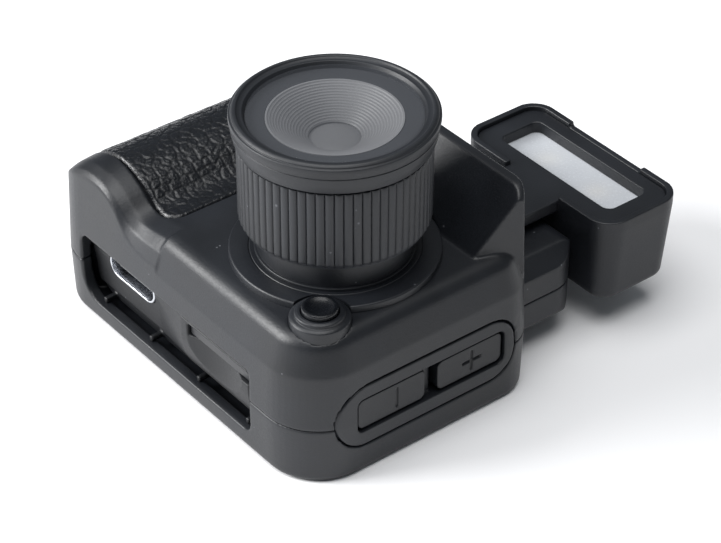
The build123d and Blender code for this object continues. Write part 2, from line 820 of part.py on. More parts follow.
# ---------------------------------------------------------------- boards and other insides
main_board = rounded(XL + 2.3, XR - 5.9, YB + 3.3, YT - 2.6, board_z, board_z + board_t, 2.0)
main_board = main_board - at_posts(post_r + 0.2, board_z - 1, board_z + 3)
battery = rounded(XL + 2.9, EDGE - 1.4, YB + 9.3, YT - 7.1, board_z + board_t + 0.4, 13.6, 1.2)
lcd_module = block(
    screen_x0 + 1.5, screen_x1 - 1.5, screen_y0 + 1.3, screen_y1 - 1.3, screen_t, screen_t + 2.0
)
screen_window = rounded(screen_x0, screen_x1, screen_y0, screen_y1, 0.0, screen_t, 1.5)
speaker = disc(4.5, board_z - 2.7, board_z, -2.0, 2.0)
shell_screws = at_posts(screw_head_r, 0.6, 1.9) + at_posts(screw_r, 1.8, 11.6)
for x, y in posts:
    shell_screws = shell_screws - block(x - 1.0, x + 1.0, y - 0.15, y + 0.15, 0, 0.95)
    shell_screws = shell_screws - block(x - 0.15, x + 0.15, y - 1.0, y + 1.0, 0, 0.95)


def rear_button(y):
    cap = disc(rear_button_r, rear_button_sunk, floor_t + 0.4, RBX, y)
    cap = fillet(cap.faces().sort_by(Axis.Z)[0].edges(), 0.3)
    return cap + disc(rear_button_r + 0.6, floor_t + 0.3, floor_t + 0.9, RBX, y)


rear_switches = disc(1.6, floor_t + 1.4, board_z, RBX, button_ys[0])
for y in button_ys[1:]:
    rear_switches = rear_switches + disc(1.6, floor_t + 1.4, board_z, RBX, y)

shutter_button = rod_y(shutter_r, YT - 2.3, YT + shutter_proud, SHX, shutter_z)
shutter_button = fillet(shutter_button.faces().sort_by(Axis.Y)[-1].edges(), 0.35)
shutter_button = shutter_button + rod_y(shutter_r + 0.7, YT - 3.2, YT - 2.2, SHX, shutter_z)
shutter_switch = block(SHX - 1.8, SHX + 1.8, YT - 5.6, YT - 4.0, 10.6, 14.2)
shutter_board = block(SHX - 3.0, SHX + 3.0, YT - 6.4, YT - 5.6, 10.4, 14.4)
lamp_driver = block(-7.0, 7.0, YT + 0.6, YT + 7.6, board_z + 0.2, board_z + 1.0)
lamp_driver = lamp_driver + disc(2.4, board_z + 0.9, board_z + 3.4, -3.0, YT + 4.0)
lamp_driver = lamp_driver + block(1.5, 5.0, YT + 2.0, YT + 6.0, board_z + 0.9, board_z + 2.2)

# ---------------------------------------------------------------- lamp head
L0 = hump_end + lamp_gap
L1 = L0 + lamp_depth
lamp_taper = lamp_draft
lean_low = (lamp_face_z - 0.8 - lamp_low) * tan(radians(lamp_taper))
housing = rounded(-lamp_half, lamp_half, L0, L1, lamp_low, lamp_face_z - 0.8, lamp_round, 0.0)
housing = downward(
    rounded(
        -lamp_half,
        lamp_half,
        L0,
        L1,
        lamp_face_z - 0.8,
        2 * (lamp_face_z - 0.8) - lamp_low,
        lamp_round,
        lamp_taper,
    ),
    lamp_face_z - 0.8,
)
housing = fillet(housing.faces().sort_by(Axis.Z)[0].edges(), 1.1)
housing = housing + rounded(
    -lamp_half, lamp_half, L0, L1, lamp_face_z - 0.8, lamp_rim_z, lamp_round
)
plate_room = rounded(
    -lamp_half + lamp_wall,
    lamp_half - lamp_wall,
    L0 + lamp_wall,
    L1 - lamp_wall,
    lamp_face_z - plate_t,
    lamp_rim_z + 1,
    lamp_round - lamp_wall,
)
well = rounded(
    -lamp_half + 2.4, lamp_half - 2.4, L0 + 2.0, L1 - 2.0, lamp_low + 1.3, lamp_face_z, 1.5
)
finger_cut = block(-6.0, 6.0, L1 - 1.4, L1 + 1, lamp_face_z, lamp_rim_z + 1)
tongue_gate = block(
    -tongue_half, tongue_half, L0 - 1, L0 + 1.2, lamp_face_z - plate_t, lamp_rim_z + 1
)
lamp_housing = housing - plate_room - well - finger_cut - tongue_gate

window_y0 = L0 + (lamp_depth - window_depth) / 2 + 0.3
window = rounded(
    -window_half, window_half, window_y0, window_y0 + window_depth, 0, 30, 1.0
)
plate = rounded(
    -lamp_half + lamp_wall,
    lamp_half - lamp_wall,
    L0 + lamp_wall,
    L1 - lamp_wall,
    lamp_face_z - plate_t,
    lamp_face_z,
    lamp_round - lamp_wall,
)
tongue_end = YT - 9.0
tongue = block(
    -tongue_half, tongue_half, tongue_end, L0 + 1.2, lamp_face_z - plate_t, lamp_face_z
)
foot = block(
    -2.4, 2.4, tongue_end, tongue_end + 1.2, lamp_face_z - plate_t - 1.3, lamp_face_z - plate_t + 0.1
)
lamp_plate = plate + tongue + foot - window
bezel_lip = block(
    -window_half - 0.3,
    window_half + 0.3,
    window_y0 - 0.3,
    window_y0 + window_depth + 0.3,
    lamp_face_z - plate_t - 1.0,
    lamp_face_z - plate_t,
)
lamp_diffuser = bezel_lip + rounded(
    -window_half,
    window_half,
    window_y0,
    window_y0 + window_depth,
    lamp_face_z - plate_t - 0.1,
    lamp_face_z - plate_t,
    1.0,
)
led_board = block(-9.4, 9.4, window_y0 - 0.4, window_y0 + window_depth + 0.3, 8.4, 9.2)
leds = block(-5.4, -2.6, window_y0 + 1.6, window_y0 + 4.4, 9.2, 10.0) + block(
    2.9, 5.7, window_y0 + 1.6, window_y0 + 4.4, 9.2, 10.0
)
reflector = block(-9.5, 9.5, window_y0 - 0.6, window_y0 + window_depth + 0.4, 10.2, 12.4)
reflector = reflector - block(-8.9, 8.9, window_y0 - 0.1, window_y0 + window_depth - 0.1, 9, 13)
heat_block = block(-9.0, 9.0, window_y0, window_y0 + window_depth, lamp_low + 1.3, 8.4)


def rail(side):
    """One side rail with the lip the tongue runs on."""
    inner = tongue_half + tongue_play
    z_low = lamp_face_z - plate_t
    y0 = tongue_end + 0.3
    if side > 0:
        post = block(inner, inner + 1.4, y0, YT - 1.0, z_low - 1.1, lamp_face_z + 1.1)
        lip = block(inner - 1.3, inner + 0.2, y0, YT - 1.0, z_low - 1.1, z_low - tongue_play)
    else:
        post = block(-inner - 1.4, -inner, y0, YT - 1.0, z_low - 1.1, lamp_face_z + 1.1)
        lip = block(-inner - 0.2, -inner + 1.3, y0, YT - 1.0, z_low - 1.1, z_low - tongue_play)
    return post + lip


lamp_guide = (rail(1) + rail(-1)) - disc(neck_r + 0.05, 0, 60)
lamp_guide = lamp_guide & tall_in

nodes = {
    "front_shell": front_shell,
    "rear_shell": rear_shell,
    "grip_pad": grip_pad,
    "port_panel": port_panel,
    "key_bezel": key_bezel,
    "release_base": release_base,
    "lens_flange": lens_flange,
    "lens_barrel": lens_barrel,
    "lens_head": lens_head,
    "front_glass": front_glass,
    "mask_ring": mask_ring,
    "baffle_cone": baffle_cone,
    "front_element": front_element,
    "filter_glass": filter_glass,
    "image_sensor": image_sensor,
    "sensor_board": sensor_board,
    "card_socket": card_socket,
    "main_board": main_board,
    "usb_shell": usb_shell,
    "usb_tongue": usb_tongue,
    "battery": battery,
    "lcd_module": lcd_module,
    "screen_window": screen_window,
    "speaker": speaker,
    "key_board": key_board,
    "key_switches": key_switches,
    "release_switch": release_switch,
    "release_board": release_board,
    "rear_switches": rear_switches,
    "shutter_switch": shutter_switch,
    "shutter_board": shutter_board,
    "shell_screws": shell_screws,
    "lamp_guide": lamp_guide,
    "lamp_driver": lamp_driver,
    "focus_ring": focus_ring,
    "lens_cell": lens_cell,
    "rear_element": rear_element,
    "release_button": release_button,
    "minus_key": minus_key,
    "plus_key": plus_key,
    "shutter_button": shutter_button,
    "menu_button": rear_button(button_ys[0]),
    "play_button": rear_button(button_ys[1]),
    "power_button": rear_button(button_ys[2]),
    "memory_card": memory_card,
    "lamp_housing": lamp_housing,
    "lamp_plate": lamp_plate,
    "lamp_diffuser": lamp_diffuser,
    "lamp_reflector": reflector,
    "led_board": led_board,
    "leds": leds,
    "heat_block": heat_block,
}
for node, shape in nodes.items():
    save(shape, node)
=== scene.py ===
"""Looks for a keyring-size toy camera: moulded shells, leather grip, ribbed lens and lamp head."""

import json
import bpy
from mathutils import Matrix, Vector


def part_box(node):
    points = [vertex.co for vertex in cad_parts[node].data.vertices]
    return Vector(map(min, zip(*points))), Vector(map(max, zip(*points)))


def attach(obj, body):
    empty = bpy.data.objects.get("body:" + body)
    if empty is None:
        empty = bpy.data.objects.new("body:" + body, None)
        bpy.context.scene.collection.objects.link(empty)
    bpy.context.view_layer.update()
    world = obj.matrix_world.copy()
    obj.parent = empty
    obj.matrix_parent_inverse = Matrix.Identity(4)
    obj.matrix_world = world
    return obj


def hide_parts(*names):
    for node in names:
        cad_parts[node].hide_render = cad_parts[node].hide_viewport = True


bl_info = {
    "name": "Mini camera looks",
    "version": (1, 0, 0),
    "blender": (4, 5, 0),
    "location": "View3D > Sidebar > Mini Camera",
    "description": "Builds the finished surfaces of a small moulded camera around its CAD frame",
    "category": "Object",
}

from math import cos, pi, radians, sin

import bmesh
import bpy
import numpy as np
from bpy.props import FloatProperty, FloatVectorProperty, IntProperty, PointerProperty
from mathutils import Matrix, Vector
from mathutils.bvhtree import BVHTree

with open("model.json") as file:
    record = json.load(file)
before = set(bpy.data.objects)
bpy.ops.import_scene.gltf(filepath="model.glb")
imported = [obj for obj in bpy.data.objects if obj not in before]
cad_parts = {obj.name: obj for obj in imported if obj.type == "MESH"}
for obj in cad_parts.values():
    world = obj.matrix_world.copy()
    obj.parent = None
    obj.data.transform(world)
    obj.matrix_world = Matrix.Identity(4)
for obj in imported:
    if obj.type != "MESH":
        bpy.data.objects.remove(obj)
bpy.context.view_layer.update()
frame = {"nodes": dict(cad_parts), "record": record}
NODES = frame["nodes"]
MM = 0.001

# leather sheet
SHEET_STEP = 0.00014
HUB_BACK = 0.0085  # from the pad's lens side to the hub its profile is read from
HUB_HEIGHT = 0.0105
RAYS = 700
SHEET_CORNER = 0.0019
EDGE_ROLL = 0.0006  # width over which the sheet rolls down to its edge
EDGE_DROP = 0.00055
SHEET_THICKNESS = 0.0005
WAVES = 7

# lens and release radii, in millimetres
BORE_R = 6.8
NECK_R = 8.6
TUBE_R = 8.0
FLANGE_R = 11.65
HEAD_R = 11.25
GLASS_R = 9.5
CONE_R = 7.35
PUPIL_R = 2.8
CENTRE_R = 0.001  # closes a turned shape at its axis
COLLAR_GAP = 0.0003

# finish
LINT = (0.09, 0.095, 0.105, 1.0)
GRAIN = 0.00006  # depth of the moulded texture

# socket tube
TUBE_WALL = 0.0003
TUBE_ROLL = 0.00009
TUBE_ARC = 20

# stage
TABLE_SIZE = 3.0
AIM = (-0.01, 0.0, 0.012)
SENSOR_WIDTH = 36.0


# ---------------------------------------------------------------- settings
class MINICAM_PG_sizes(bpy.types.PropertyGroup):
    """Sizes of the finish, all small enough to leave the CAD dimensions alone."""

    shell_edge: FloatProperty(
        name="Shell edge grain", description="Cell size that rounds the shell edges",
        default=0.00019, min=0.0001, max=0.001, unit="LENGTH", precision=5)
    part_edge: FloatProperty(
        name="Part edge grain", description="Cell size that rounds the edges of small parts",
        default=0.00013, min=0.00008, max=0.001, unit="LENGTH", precision=5)
    ribs: IntProperty(
        name="Ribs", description="Ribs round the lens ring", default=66, min=12, max=120)
    rib_depth: FloatProperty(
        name="Rib depth", description="Depth of the grooves between ribs",
        default=0.00024, min=0.0, max=0.001, unit="LENGTH", precision=5)
    pebble: FloatProperty(
        name="Pebble size", description="Spacing of the pebbles in the leather grip",
        default=0.00105, min=0.0005, max=0.004, unit="LENGTH", precision=5)
    pebble_height: FloatProperty(
        name="Pebble height", description="How far the pebbles stand up",
        default=0.00015, min=0.0, max=0.001, unit="LENGTH", precision=5)
    cone_steps: IntProperty(
        name="Baffle steps", description="Steps in the cone behind the front glass",
        default=15, min=3, max=40)
    view_azimuth: FloatProperty(
        name="View azimuth", description="Direction the camera looks from, round the lens axis",
        default=radians(51.70), subtype="ANGLE")
    view_height: FloatProperty(
        name="View elevation", description="Height the camera looks from",
        default=radians(36.54), subtype="ANGLE")
    view_roll: FloatProperty(
        name="View roll", description="Roll of the camera", default=radians(0.16), subtype="ANGLE")
    view_distance: FloatProperty(
        name="View distance", description="Camera to the middle of the body",
        default=0.2952, min=0.05, unit="LENGTH")
    view_lens: FloatProperty(
        name="Focal length", description="Focal length of the view", default=130.9, unit="CAMERA")


class MINICAM_PG_colours(bpy.types.PropertyGroup):
    """Colours and light strengths."""

    body: FloatVectorProperty(
        name="Body", description="Moulded plastic", subtype="COLOR", size=4,
        default=(0.0085, 0.0100, 0.0132, 1.0), min=0.0, max=1.0)
    ring: FloatVectorProperty(
        name="Ribbed ring", description="Plastic of the lens ring", subtype="COLOR", size=4,
        default=(0.0110, 0.0127, 0.0162, 1.0), min=0.0, max=1.0)
    leather: FloatVectorProperty(
        name="Leather", description="Grip pad", subtype="COLOR", size=4,
        default=(0.0042, 0.0050, 0.0068, 1.0), min=0.0, max=1.0)
    baffle: FloatVectorProperty(
        name="Baffle", description="Stepped cone behind the glass", subtype="COLOR", size=4,
        default=(0.125, 0.126, 0.131, 1.0), min=0.0, max=1.0)
    diffuser: FloatVectorProperty(
        name="Diffuser", description="Milky lamp window", subtype="COLOR", size=4,
        default=(0.46, 0.48, 0.51, 1.0), min=0.0, max=1.0)
    warm_spot: FloatVectorProperty(
        name="Warm spots", description="Glow of the chips behind the lamp window", subtype="COLOR",
        size=4, default=(1.0, 0.90, 0.66, 1.0), min=0.0, max=1.0)
    metal: FloatVectorProperty(
        name="Socket metal", description="Plated socket rim", subtype="COLOR", size=4,
        default=(0.62, 0.64, 0.68, 1.0), min=0.0, max=1.0)
    floor: FloatVectorProperty(
        name="Floor", description="Table surface", subtype="COLOR", size=4,
        default=(0.93, 0.93, 0.94, 1.0), min=0.0, max=1.0)
    sky: FloatProperty(
        name="Surround", description="Strength of the surrounding light", default=0.18, min=0.0)
    top_light: FloatProperty(
        name="Top light", description="Power of the large light overhead", default=5.0, min=0.0,
        unit="POWER")
    side_light: FloatProperty(
        name="Side light", description="Power of the light on the grip side", default=3.2, min=0.0,
        unit="POWER")


# ---------------------------------------------------------------- shader groups
def new_group(name, inputs, outputs):
    """A shader node group with float or colour sockets; returns it with its two end nodes."""
    tree = bpy.data.node_groups.new(name, "ShaderNodeTree")
    for label, kind, value in inputs:
        socket = tree.interface.new_socket(name=label, in_out="INPUT", socket_type=kind)
        if value is not None:
            socket.default_value = value
    for label, kind in outputs:
        tree.interface.new_socket(name=label, in_out="OUTPUT", socket_type=kind)
    return tree, tree.nodes.new("NodeGroupInput"), tree.nodes.new("NodeGroupOutput")


def maths(tree, operation, a, b=None, clamp=False):
    node = tree.nodes.new("ShaderNodeMath")
    node.operation = operation
    node.use_clamp = clamp
    for socket, value in zip(node.inputs, (a, b)):
        if value is None:
            continue
        if isinstance(value, (int, float)):
            socket.default_value = value
        else:
            tree.links.new(value, socket)
    return node.outputs[0]


def scaled_position(tree, scale):
    """Object coordinates in millimetres, times a scale."""
    place = tree.nodes.new("ShaderNodeTexCoord")
    grow = tree.nodes.new("ShaderNodeVectorMath")
    grow.operation = "SCALE"
    tree.links.new(place.outputs["Object"], grow.inputs[0])
    tree.links.new(maths(tree, "MULTIPLY", scale, 1000.0), grow.inputs["Scale"])
    return grow.outputs[0]


def build_moulded():
    """Fine moulded texture with a slow drift in tone, for every plastic piece."""
    tree, entry, out = new_group(
        "moulded_texture",
        [("Scale", "NodeSocketFloat", 5.0), ("Drift", "NodeSocketFloat", 0.5)],
        [("Height", "NodeSocketFloat"), ("Tone", "NodeSocketFloat"), ("Sheen spots", "NodeSocketFloat")],
    )
    fine = tree.nodes.new("ShaderNodeTexNoise")
    fine.inputs["Scale"].default_value = 1.0
    fine.inputs["Detail"].default_value = 2.0
    tree.links.new(scaled_position(tree, entry.outputs["Scale"]), fine.inputs["Vector"])
    slow = tree.nodes.new("ShaderNodeTexNoise")
    slow.inputs["Scale"].default_value = 0.22
    slow.inputs["Detail"].default_value = 3.0
    tree.links.new(scaled_position(tree, entry.outputs["Drift"]), slow.inputs["Vector"])
    tree.links.new(fine.outputs["Fac"], out.inputs["Height"])
    tree.links.new(slow.outputs["Fac"], out.inputs["Tone"])
    spots = maths(tree, "MULTIPLY", fine.outputs["Fac"], slow.outputs["Fac"])
    tree.links.new(spots, out.inputs["Sheen spots"])
    return tree


def build_dust():
    """Sparse pale specks of lint and dust."""
    tree, entry, out = new_group(
        "dust_specks",
        [("Scale", "NodeSocketFloat", 1.0), ("Size", "NodeSocketFloat", 0.08)],
        [("Mask", "NodeSocketFloat")],
    )
    cells = tree.nodes.new("ShaderNodeTexVoronoi")
    cells.inputs["Scale"].default_value = 1.0
    cells.inputs["Randomness"].default_value = 1.0
    tree.links.new(scaled_position(tree, entry.outputs["Scale"]), cells.inputs["Vector"])
    near = maths(tree, "LESS_THAN", cells.outputs["Distance"], entry.outputs["Size"])
    split = tree.nodes.new("ShaderNodeSeparateColor")
    tree.links.new(cells.outputs["Color"], split.inputs[0])
    chosen = maths(tree, "GREATER_THAN", split.outputs[0], 0.86)
    tree.links.new(maths(tree, "MULTIPLY", near, chosen), out.inputs["Mask"])
    return tree


GROUPS = {}


def group(tree, key, **values):
    """Places a shared group in a material and sets its inputs."""
    if key not in GROUPS:
        GROUPS[key] = {"moulded": build_moulded, "dust": build_dust}[key]()
    node = tree.nodes.new("ShaderNodeGroup")
    node.node_tree = GROUPS[key]
    for label, value in values.items():
        node.inputs[label.replace("_", " ")].default_value = value
    return node


def mixed(tree, fac, a, b):
    node = tree.nodes.new("ShaderNodeMix")
    node.data_type = "RGBA"
    for socket, value in ((node.inputs[0], fac), (node.inputs[6], a), (node.inputs[7], b)):
        if isinstance(value, (int, float, tuple, list)):
            socket.default_value = value
        else:
            tree.links.new(value, socket)
    return node.outputs[2]


def span(tree, value, low, high, out_low, out_high):
    node = tree.nodes.new("ShaderNodeMapRange")
    tree.links.new(value, node.inputs["Value"])
    limits = {"From Min": low, "From Max": high, "To Min": out_low, "To Max": out_high}
    for label, number in limits.items():
        node.inputs[label].default_value = number
    return node.outputs["Result"]


def bumped(tree, shader, height, strength, distance):
    node = tree.nodes.new("ShaderNodeBump")
    node.inputs["Strength"].default_value = strength
    node.inputs["Distance"].default_value = distance
    tree.links.new(height, node.inputs["Height"])
    tree.links.new(node.outputs["Normal"], shader.inputs["Normal"])


def blank(name):
    mat = bpy.data.materials.new(name)
    mat.use_nodes = True
    return mat, mat.node_tree, mat.node_tree.nodes["Principled BSDF"]


def shade(colour, factor):
    return tuple(min(1.0, c * factor) for c in colour[:3]) + (1.0,)


def moulded_plastic(name, colour, rough=0.42, scale=5.0, bump=0.25, dust=0.07, spec=0.5, spread=0.28):
    """Satin moulded plastic with fine texture, tone drift and dust."""
    mat, tree, shader = blank(name)
    skin = group(tree, "moulded", Scale=scale, Drift=0.5)
    lint = group(tree, "dust", Scale=0.62, Size=dust)
    tone = span(tree, skin.outputs["Tone"], 0.3, 0.7, 0.0, 1.0)
    base = mixed(tree, tone, shade(colour, 1 - spread), shade(colour, 1 + spread))
    dusty = mixed(tree, lint.outputs["Mask"], base, LINT)
    tree.links.new(dusty, shader.inputs["Base Color"])
    worn = span(tree, skin.outputs["Sheen spots"], 0.1, 0.4, rough - 0.05, rough + 0.07)
    tree.links.new(worn, shader.inputs["Roughness"])
    shader.inputs["Specular IOR Level"].default_value = spec
    bumped(tree, shader, skin.outputs["Height"], bump, GRAIN)
    return mat


def leather_finish(name, colour):
    """Glossy pebbled leatherette: painted shade darkens the creases and a painted highlight lightens the
    pebble tops, which are also less rough.
    """
    mat, tree, shader = blank(name)
    skin = group(tree, "moulded", Scale=2.6, Drift=1.4)
    attr = tree.nodes.new("ShaderNodeAttribute")
    attr.attribute_name = "crease"
    # painted light: the crease value darkens the creases as painted shade and lightens the pebble tops
    # as painted highlight
    lift = span(tree, attr.outputs["Fac"], 0.0, 0.75, 0.0, 1.0)
    low = mixed(tree, skin.outputs["Tone"], shade(colour, 0.3), shade(colour, 0.55))
    high = mixed(tree, skin.outputs["Tone"], shade(colour, 0.9), shade(colour, 1.7))
    tree.links.new(mixed(tree, lift, low, high), shader.inputs["Base Color"])
    tree.links.new(span(tree, attr.outputs["Fac"], 0.0, 1.0, 0.44, 0.27), shader.inputs["Roughness"])
    wrinkles = tree.nodes.new("ShaderNodeTexNoise")
    wrinkles.inputs["Scale"].default_value = 1.0
    wrinkles.inputs["Detail"].default_value = 3.0
    wrinkles.inputs["Distortion"].default_value = 0.8
    grow = tree.nodes.new("ShaderNodeVectorMath")
    grow.operation = "MULTIPLY"
    grow.inputs[1].default_value = (3600.0, 2900.0, 3600.0)
    place = tree.nodes.new("ShaderNodeTexCoord")
    tree.links.new(place.outputs["Object"], grow.inputs[0])
    tree.links.new(grow.outputs[0], wrinkles.inputs["Vector"])
    shader.inputs["Specular IOR Level"].default_value = 0.5
    bumped(tree, shader, wrinkles.outputs["Fac"], 0.6, 0.00010)
    return mat


def metal_finish(name, colour, rough, stretch=(1.0, 1.0, 1.0)):
    """Plated or rolled metal with faint drawn lines."""
    mat, tree, shader = blank(name)
    place = tree.nodes.new("ShaderNodeTexCoord")
    grow = tree.nodes.new("ShaderNodeVectorMath")
    grow.operation = "MULTIPLY"
    grow.inputs[1].default_value = tuple(3000.0 * s for s in stretch)
    tree.links.new(place.outputs["Object"], grow.inputs[0])
    lines = tree.nodes.new("ShaderNodeTexNoise")
    lines.inputs["Scale"].default_value = 1.0
    lines.inputs["Detail"].default_value = 3.0
    tree.links.new(grow.outputs[0], lines.inputs["Vector"])
    drawn = mixed(tree, lines.outputs["Fac"], shade(colour, 0.82), shade(colour, 1.1))
    tree.links.new(drawn, shader.inputs["Base Color"])
    worn = span(tree, lines.outputs["Fac"], 0.3, 0.7, rough - 0.06, rough + 0.08)
    tree.links.new(worn, shader.inputs["Roughness"])
    shader.inputs["Metallic"].default_value = 1.0
    bumped(tree, shader, lines.outputs["Fac"], 0.15, 0.00003)
    return mat


def baffle_finish(name, colour):
    """Matt grey baffle, with painted shade that darkens it toward the deep middle."""
    mat, tree, shader = blank(name)
    skin = group(tree, "moulded", Scale=6.0, Drift=1.0)
    place = tree.nodes.new("ShaderNodeTexCoord")
    length = tree.nodes.new("ShaderNodeVectorMath")
    length.operation = "LENGTH"
    flat = tree.nodes.new("ShaderNodeVectorMath")
    flat.operation = "MULTIPLY"
    flat.inputs[1].default_value = (1000.0, 1000.0, 0.0)
    tree.links.new(place.outputs["Object"], flat.inputs[0])
    tree.links.new(flat.outputs[0], length.inputs[0])
    # painted shade: the colour darkens from the rim toward the pupil, where the cone lies deepest
    out = span(tree, length.outputs["Value"], 2.8, 7.4, 0.0, 1.0)
    shaded_ramp = mixed(tree, out, shade(colour, 0.72), shade(colour, 1.18))
    tree.links.new(
        mixed(tree, span(tree, skin.outputs["Tone"], 0.35, 0.65, 0.0, 0.35), shaded_ramp, shade(colour, 0.8)),
        shader.inputs["Base Color"])
    tree.links.new(span(tree, skin.outputs["Tone"], 0.3, 0.7, 0.5, 0.62), shader.inputs["Roughness"])
    bumped(tree, shader, skin.outputs["Height"], 0.2, 0.00004)
    return mat


def glass_finish(name, alpha, tint):
    """Clear cover: mostly see-through, with a clean reflection."""
    mat, tree, shader = blank(name)
    skin = group(tree, "moulded", Scale=1.2, Drift=0.6)
    cloudy = mixed(tree, skin.outputs["Tone"], tint, shade(tint, 0.9))
    tree.links.new(cloudy, shader.inputs["Base Color"])
    tree.links.new(span(tree, skin.outputs["Tone"], 0.3, 0.7, 0.05, 0.09), shader.inputs["Roughness"])
    shader.inputs["Alpha"].default_value = alpha
    shader.inputs["Specular IOR Level"].default_value = 0.22
    mat.surface_render_method = "BLENDED"
    return mat


def diffuser_finish(name, colour, warm, centre, half):
    """Milky window lit from behind by two warm chips."""
    mat, tree, shader = blank(name)
    skin = group(tree, "moulded", Scale=3.0, Drift=1.2)
    place = tree.nodes.new("ShaderNodeTexCoord")
    split = tree.nodes.new("ShaderNodeSeparateXYZ")
    tree.links.new(place.outputs["Object"], split.inputs[0])
    glow = None
    for spot in (-half, half):
        dx = maths(tree, "MULTIPLY", maths(tree, "SUBTRACT", split.outputs[0], centre[0] + spot), 1000.0)
        dy = maths(tree, "MULTIPLY", maths(tree, "SUBTRACT", split.outputs[1], centre[1]), 1000.0)
        d2 = maths(tree, "ADD", maths(tree, "MULTIPLY", dx, dx), maths(tree, "MULTIPLY", dy, dy))
        one = maths(tree, "POWER", 2.718, maths(tree, "MULTIPLY", d2, -0.42))
        glow = one if glow is None else maths(tree, "ADD", glow, one, clamp=True)
    base = mixed(tree, span(tree, skin.outputs["Tone"], 0.3, 0.7, 0.0, 1.0), shade(colour, 0.93), colour)
    tree.links.new(base, shader.inputs["Base Color"])
    tree.links.new(mixed(tree, glow, colour, warm), shader.inputs["Emission Color"])
    shader.inputs["Emission Strength"].default_value = 0.10
    tree.links.new(span(tree, skin.outputs["Height"], 0.3, 0.7, 0.2, 0.3), shader.inputs["Roughness"])
    shader.inputs["Subsurface Weight"].default_value = 0.0
    return mat


def floor_finish(name, colour):
    """Matt table surface with the faintest drift in tone."""
    mat, tree, shader = blank(name)
    haze = tree.nodes.new("ShaderNodeTexNoise")
    haze.inputs["Scale"].default_value = 14.0
    haze.inputs["Detail"].default_value = 2.0
    drift = mixed(tree, haze.outputs["Fac"], shade(colour, 0.99), colour)
    tree.links.new(drift, shader.inputs["Base Color"])
    shader.inputs["Roughness"].default_value = 0.9
    shader.inputs["Specular IOR Level"].default_value = 0.1
    return mat


MATS = {}


def finish(key):
    """Makes each finish once, from the colours in the sidebar."""
    if key in MATS:
        return MATS[key]
    c = bpy.context.scene.minicam_colours
    makers = {
        "shell": lambda: moulded_plastic("satin_black_shell", tuple(c.body)),
        # painted shade: the port panel gets a darker copy of the body plastic for its set-back bay
        "panel": lambda: moulded_plastic("matt_black_panel_painted_shade", shade(c.body, 0.62), rough=0.5),
        "ring": lambda: moulded_plastic(
            "matt_ribbed_ring", tuple(c.ring), rough=0.46, scale=7.0, dust=0.09),
        "key": lambda: moulded_plastic("satin_black_keys", shade(c.body, 0.8), rough=0.4, scale=6.0),
        "button": lambda: moulded_plastic(
            "gloss_black_button", shade(c.body, 0.5), rough=0.27, bump=0.08),
        "mask": lambda: moulded_plastic(
            "flat_black_mask", shade(c.body, 0.9), rough=0.6, bump=0.03, dust=0.0, spread=0.05),
        "leather": lambda: leather_finish("pebbled_leather", tuple(c.leather)),
        "cone": lambda: baffle_finish("grey_stepped_baffle", tuple(c.baffle)),
        "glass": lambda: glass_finish("front_glass_clear", 0.06, (0.3, 0.32, 0.36, 1.0)),
        "lens": lambda: glass_finish("lens_element_clear", 0.45, (0.16, 0.17, 0.19, 1.0)),
        "metal": lambda: metal_finish("plated_socket_rim", tuple(c.metal), 0.22),
        "steel": lambda: metal_finish("rolled_steel", (0.5, 0.51, 0.53, 1.0), 0.34, (0.2, 1.0, 1.0)),
        "insert": lambda: moulded_plastic("grey_insert_plastic", (0.16, 0.165, 0.175, 1.0), rough=0.5),
        "card": lambda: moulded_plastic("card_plastic", (0.022, 0.023, 0.026, 1.0), rough=0.4),
        "screen": lambda: moulded_plastic(
            "gloss_screen_window", (0.008, 0.009, 0.011, 1.0), rough=0.14, bump=0.02),
        "board": lambda: moulded_plastic(
            "green_board", (0.02, 0.10, 0.05, 1.0), rough=0.45, scale=2.0, spread=0.2),
        "part": lambda: moulded_plastic("black_component", (0.03, 0.03, 0.033, 1.0), rough=0.5),
        "cell": lambda: metal_finish("foil_pouch", (0.6, 0.62, 0.65, 1.0), 0.4),
        "led": lambda: moulded_plastic("warm_chip", (0.9, 0.75, 0.35, 1.0), rough=0.3),
    }
    MATS[key] = makers[key]()
    return MATS[key]


# ---------------------------------------------------------------- mesh helpers
def body_of_node(node):
    for name, members in frame["record"]["behaviour"]["bodies"].items():
        if node in members:
            return name
    raise RuntimeError("no body holds " + node)


def paint(key, *nodes):
    """Gives carried-over CAD nodes their finish."""
    for node in nodes:
        obj = NODES[node]
        if obj.material_slots:
            obj.material_slots[0].material = finish(key)
        else:
            obj.data.materials.append(finish(key))


def piece(name, verts, faces, key, body, nodes=(), smooth=True):
    """A new mesh piece that rides on a body and stands for CAD nodes."""
    mesh = bpy.data.meshes.new(name)
    mesh.from_pydata([tuple(v) for v in verts], [], faces)
    mesh.validate()
    obj = bpy.data.objects.new(name, mesh)
    bpy.context.scene.collection.objects.link(obj)
    mesh.materials.append(finish(key))
    if smooth:
        mesh.polygons.foreach_set("use_smooth", [True] * len(mesh.polygons))
    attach(obj, body)
    if nodes:
        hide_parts(*nodes)
    return obj


def apply_modifiers(obj):
    bpy.context.view_layer.update()
    graph = bpy.context.evaluated_depsgraph_get()
    done = bpy.data.meshes.new_from_object(obj.evaluated_get(graph))
    obj.modifiers.clear()
    obj.data = done
    return obj


